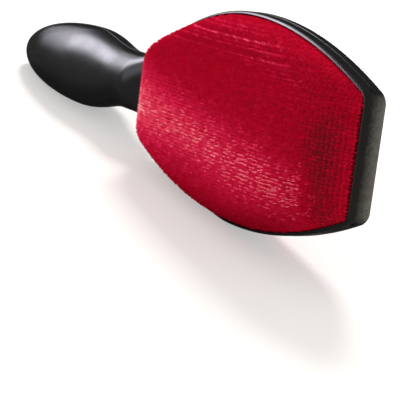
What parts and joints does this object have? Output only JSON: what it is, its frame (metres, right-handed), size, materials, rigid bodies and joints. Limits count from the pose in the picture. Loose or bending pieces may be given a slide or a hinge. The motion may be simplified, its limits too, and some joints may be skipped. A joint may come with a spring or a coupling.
{
  "type": "lint brush",
  "caption": "Rigid two-sided lint brush: barrel-shaped head with crowned red pile-fabric pads in a black gloss plastic frame, and a teardrop handle moulded with it in half shells.",
  "frame": {"origin": "centre of the brush's bounding box, on the parting plane of the two shells", "axes": "+X along the brush from the handle's tip to the far end of the head, +Y across the head, +Z out of the front pad"},
  "size_m": [0.237, 0.066, 0.0296],
  "materials": {
    "black_gloss_plastic": "smooth moulded black plastic with a soft gloss",
    "black_inner_plastic": "plain moulded black plastic",
    "red_pile_fabric": "short directional pile in fine rows, with a sheen against the nap",
    "grey_foam": "thin soft foam sheet",
    "plated_steel": "zinc plated"
  },
  "bodies": {
    "root": {"front_shell": "black_gloss_plastic", "back_shell": "black_gloss_plastic", "front_fabric": "red_pile_fabric", "back_fabric": "red_pile_fabric", "front_foam": "grey_foam", "back_foam": "grey_foam", "front_pad_plate": "black_inner_plastic", "back_pad_plate": "black_inner_plastic", "clamp_screw_1": "plated_steel", "clamp_screw_2": "plated_steel", "clamp_screw_3": "plated_steel", "clamp_screw_4": "plated_steel"}
  },
  "joints": []
}
